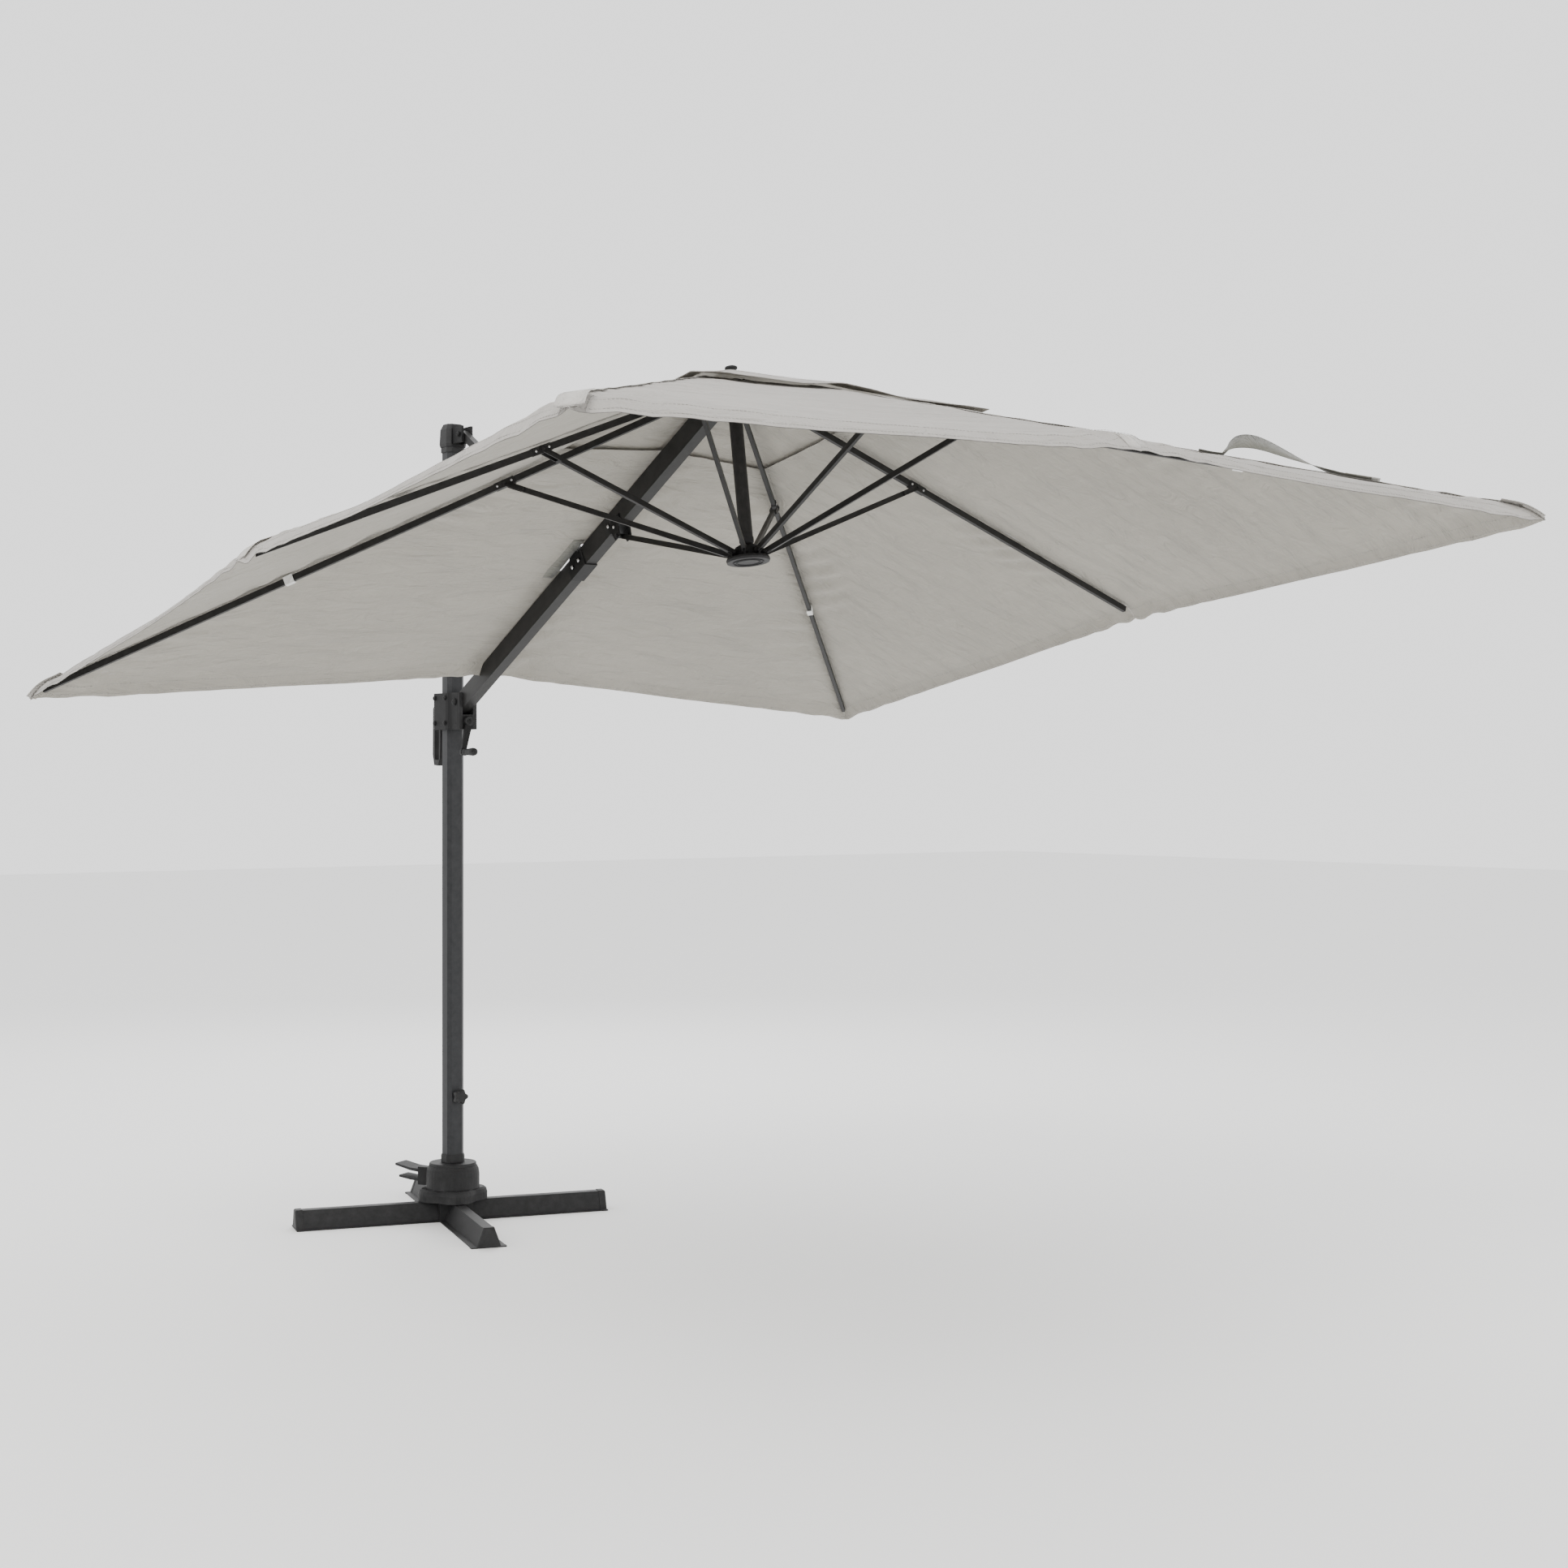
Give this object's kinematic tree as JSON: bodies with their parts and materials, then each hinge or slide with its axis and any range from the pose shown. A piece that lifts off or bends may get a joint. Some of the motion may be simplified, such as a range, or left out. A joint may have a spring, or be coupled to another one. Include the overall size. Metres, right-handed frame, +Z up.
{
  "type": "cantilever parasol",
  "caption": "Square cantilever parasol on a cross base, with a swivelling mast, a cranked slider, a folding arm with a stay, and a ribbed fabric canopy that closes.",
  "frame": {"origin": "centre of the base cross on the ground", "axes": "+Z up, +X from the mast along the arm towards the canopy"},
  "size_m": [3.7159, 3, 2.667],
  "materials": {
    "rail_paint": "matte",
    "black_plastic": "matte",
    "mast_coat": "satin",
    "frame_coat": "satin",
    "canopy_fabric": "matte",
    "grip_plastic": "matte"
  },
  "bodies": {
    "base": {"base_center": "rail_paint", "base_arm_1": "rail_paint", "base_arm_2": "rail_paint", "base_arm_3": "rail_paint", "base_arm_4": "rail_paint", "end_cap_1": "black_plastic", "end_cap_2": "black_plastic", "end_cap_3": "black_plastic", "end_cap_4": "black_plastic", "cover_plate": "black_plastic", "swivel_housing": "black_plastic"},
    "pedal_upper": {"pedal_upper": "grip_plastic"},
    "pedal_lower": {"pedal_lower": "grip_plastic"},
    "mast": {"mast_disc": "black_plastic", "mast_tube": "mast_coat", "mast_cap": "black_plastic"},
    "mast_knob": {"mast_knob": "black_plastic"},
    "link": {"link_bar": "frame_coat"},
    "arm": {"arm_tube": "frame_coat", "arm_end_fork": "black_plastic", "link_bracket": "black_plastic", "strut_bracket": "black_plastic", "canopy_panel_arm": "canopy_fabric"},
    "slider": {"slider_shell_right": "black_plastic", "slider_shell_left": "black_plastic", "crank_drum": "black_plastic", "slider_handle": "black_plastic"},
    "grip_lever": {"grip_lever": "grip_plastic"},
    "crank": {"crank_arm": "black_plastic"},
    "crank_knob": {"crank_knob": "black_plastic"},
    "post": {"top_hub": "black_plastic", "hub_post": "frame_coat", "post_plug": "black_plastic", "finial": "black_plastic", "vent_cap": "canopy_fabric"},
    "lower_hub": {"lower_hub": "black_plastic"},
    "rib_px": {"rib_px": "frame_coat", "canopy_panel_px": "canopy_fabric"},
    "strut_px": {"strut_px": "frame_coat"},
    "rib_pxpy": {"rib_pxpy": "frame_coat", "canopy_panel_pxpy": "canopy_fabric"},
    "strut_pxpy": {"strut_pxpy": "frame_coat"},
    "rib_py": {"rib_py": "frame_coat", "canopy_panel_py": "canopy_fabric"},
    "strut_py": {"strut_py": "frame_coat"},
    "rib_nxpy": {"rib_nxpy": "frame_coat", "canopy_panel_nxpy": "canopy_fabric"},
    "strut_nxpy": {"strut_nxpy": "frame_coat"},
    "strut_arm": {"strut_arm": "frame_coat"},
    "rib_nxny": {"rib_nxny": "frame_coat", "canopy_panel_nxny": "canopy_fabric"},
    "strut_nxny": {"strut_nxny": "frame_coat"},
    "rib_ny": {"rib_ny": "frame_coat", "canopy_panel_ny": "canopy_fabric"},
    "strut_ny": {"strut_ny": "frame_coat"},
    "rib_pxny": {"rib_pxny": "frame_coat", "canopy_panel_pxny": "canopy_fabric"},
    "strut_pxny": {"strut_pxny": "frame_coat"}
  },
  "joints": [
    {"name": "pedal_upper_press", "type": "hinge", "parent": "base", "child": "pedal_upper", "pos_m": [-0.08755, -0.04833, 0.156], "axis": [0.4833, -0.8755, 0], "range_deg": [0, 8], "stiffness_Nm_per_rad": 6, "springref_deg": -2.86},
    {"name": "pedal_lower_press", "type": "hinge", "parent": "base", "child": "pedal_lower", "pos_m": [-0.08755, -0.04833, 0.126], "axis": [0.4833, -0.8755, 0], "range_deg": [0, 8], "stiffness_Nm_per_rad": 6, "springref_deg": -2.86},
    {"name": "mast_swivel", "type": "hinge", "parent": "base", "child": "mast", "pos_m": [0, 0, 0.185], "axis": [0, 0, 1], "continuous": true},
    {"name": "mast_knob_turn", "type": "hinge", "parent": "mast", "child": "mast_knob", "pos_m": [0.045, 0, 0.414], "axis": [1, 0, 0], "continuous": true},
    {"name": "stay_swing", "type": "hinge", "parent": "mast", "child": "link", "pos_m": [0.08, 0, 2.625], "axis": [0, -1, 0], "range_deg": [-49, 11]},
    {"name": "arm_fold", "type": "hinge", "parent": "link", "child": "arm", "pos_m": [0.797, 0, 2.179], "axis": [0, -1, 0], "range_deg": [-20, 96]},
    {"name": "slider_pivot", "type": "hinge", "parent": "arm", "child": "slider", "pos_m": [0.08, 0, 1.733], "axis": [0, -1, 0], "range_deg": [-49, 11]},
    {"name": "grip_squeeze", "type": "hinge", "parent": "slider", "child": "grip_lever", "pos_m": [-0.0747, 0, 1.69], "axis": [0, 1, 0], "range_deg": [0, 5], "stiffness_Nm_per_rad": 1.5, "springref_deg": -5.73},
    {"name": "crank_turn", "type": "hinge", "parent": "slider", "child": "crank", "pos_m": [0.1115, 0, 1.668], "axis": [1, 0, 0], "range_deg": [-100, 100]},
    {"name": "crank_knob_spin", "type": "hinge", "parent": "crank", "child": "crank_knob", "pos_m": [0.1174, -0.022, 1.566], "axis": [1, 0, 0], "continuous": true},
    {"name": "canopy_fold", "type": "hinge", "parent": "arm", "child": "post", "pos_m": [1.57074, 0, 2.5477], "axis": [0, 1, 0], "range_deg": [0, 60], "deforming": ["vent_cap", "canopy_panel_arm"]},
    {"name": "rib_fold_px", "type": "hinge", "parent": "post", "child": "rib_px", "pos_m": [1.66782, 0, 2.57451], "axis": [0, 1, 0], "range_deg": [0, 60], "deforming": ["canopy_panel_px"]},
    {"name": "strut_fold_px", "type": "hinge", "parent": "rib_px", "child": "strut_px", "pos_m": [2.28659, 0, 2.4285], "axis": [0, 1, 0], "range_deg": [-118, 1]},
    {"name": "lower_hub_carry", "type": "hinge", "parent": "strut_px", "child": "lower_hub", "pos_m": [1.73861, 0, 2.10615], "axis": [0, 1, 0], "range_deg": [-1, 60]},
    {"name": "rib_fold_pxpy", "type": "hinge", "parent": "post", "child": "rib_pxpy", "pos_m": [1.65334, 0.03536, 2.57232], "axis": [-0.6992, 0.7071, -0.1057], "range_deg": [0, 60], "deforming": ["canopy_panel_pxpy"]},
    {"name": "rib_fold_py", "type": "hinge", "parent": "post", "child": "rib_py", "pos_m": [1.61838, 0.05, 2.56704], "axis": [-0.9888, 0, -0.1494], "range_deg": [0, 60], "deforming": ["canopy_panel_py"]},
    {"name": "rib_fold_nxpy", "type": "hinge", "parent": "post", "child": "rib_nxpy", "pos_m": [1.58342, 0.03536, 2.56175], "axis": [-0.6992, -0.7071, -0.1057], "range_deg": [0, 60], "deforming": ["canopy_panel_nxpy"]},
    {"name": "rib_fold_nxny", "type": "hinge", "parent": "post", "child": "rib_nxny", "pos_m": [1.58342, -0.03536, 2.56175], "axis": [0.6992, -0.7071, 0.1057], "range_deg": [0, 60], "deforming": ["canopy_panel_nxny"]},
    {"name": "rib_fold_ny", "type": "hinge", "parent": "post", "child": "rib_ny", "pos_m": [1.61838, -0.05, 2.56704], "axis": [0.9888, 0, 0.1494], "range_deg": [0, 60], "deforming": ["canopy_panel_ny"]},
    {"name": "rib_fold_pxny", "type": "hinge", "parent": "post", "child": "rib_pxny", "pos_m": [1.65334, -0.03536, 2.57232], "axis": [0.6992, 0.7071, 0.1057], "range_deg": [0, 60], "deforming": ["canopy_panel_pxny"]},
    {"name": "strut_fold_pxpy", "type": "hinge", "parent": "lower_hub", "child": "strut_pxpy", "pos_m": [1.72413, 0.03536, 2.10396], "axis": [-0.6992, 0.7071, -0.1057], "range_deg": [-66, 1]},
    {"name": "strut_fold_py", "type": "hinge", "parent": "lower_hub", "child": "strut_py", "pos_m": [1.68917, 0.05, 2.09868], "axis": [-0.9888, 0, -0.1494], "range_deg": [-66, 1]},
    {"name": "strut_fold_nxpy", "type": "hinge", "parent": "lower_hub", "child": "strut_nxpy", "pos_m": [1.65421, 0.03536, 2.09339], "axis": [-0.6992, -0.7071, -0.1057], "range_deg": [-66, 1]},
    {"name": "strut_fold_arm", "type": "hinge", "parent": "lower_hub", "child": "strut_arm", "pos_m": [1.63973, 0, 2.0912], "axis": [0, -1, 0], "range_deg": [-66, 1]},
    {"name": "strut_fold_nxny", "type": "hinge", "parent": "lower_hub", "child": "strut_nxny", "pos_m": [1.65421, -0.03536, 2.09339], "axis": [0.6992, -0.7071, 0.1057], "range_deg": [-66, 1]},
    {"name": "strut_fold_ny", "type": "hinge", "parent": "lower_hub", "child": "strut_ny", "pos_m": [1.68917, -0.05, 2.09868], "axis": [0.9888, 0, 0.1494], "range_deg": [-66, 1]},
    {"name": "strut_fold_pxny", "type": "hinge", "parent": "lower_hub", "child": "strut_pxny", "pos_m": [1.72413, -0.03536, 2.10396], "axis": [0.6992, 0.7071, 0.1057], "range_deg": [-66, 1]}
  ],
  "couplings": [
    {"joint": "stay_swing", "follows": "arm_fold", "ratio": -0.5},
    {"joint": "slider_pivot", "follows": "arm_fold", "ratio": -0.5},
    {"joint": "rib_fold_px", "follows": "canopy_fold", "ratio": 0.96881},
    {"joint": "strut_fold_px", "follows": "canopy_fold", "ratio": -1.9376},
    {"joint": "lower_hub_carry", "follows": "canopy_fold", "ratio": 0.96881},
    {"joint": "rib_fold_pxpy", "follows": "canopy_fold", "ratio": 0.8732},
    {"joint": "rib_fold_py", "follows": "canopy_fold", "ratio": 0.96881},
    {"joint": "rib_fold_nxpy", "follows": "canopy_fold", "ratio": 0.8732},
    {"joint": "rib_fold_nxny", "follows": "canopy_fold", "ratio": 0.8732},
    {"joint": "rib_fold_ny", "follows": "canopy_fold", "ratio": 0.96881},
    {"joint": "rib_fold_pxny", "follows": "canopy_fold", "ratio": 0.8732},
    {"joint": "strut_fold_pxpy", "follows": "canopy_fold", "ratio": -0.76662},
    {"joint": "strut_fold_py", "follows": "canopy_fold", "ratio": -0.96881},
    {"joint": "strut_fold_nxpy", "follows": "canopy_fold", "ratio": -0.76662},
    {"joint": "strut_fold_arm", "follows": "canopy_fold", "ratio": -1.075},
    {"joint": "strut_fold_nxny", "follows": "canopy_fold", "ratio": -0.76662},
    {"joint": "strut_fold_ny", "follows": "canopy_fold", "ratio": -0.96881},
    {"joint": "strut_fold_pxny", "follows": "canopy_fold", "ratio": -0.76662}
  ]
}
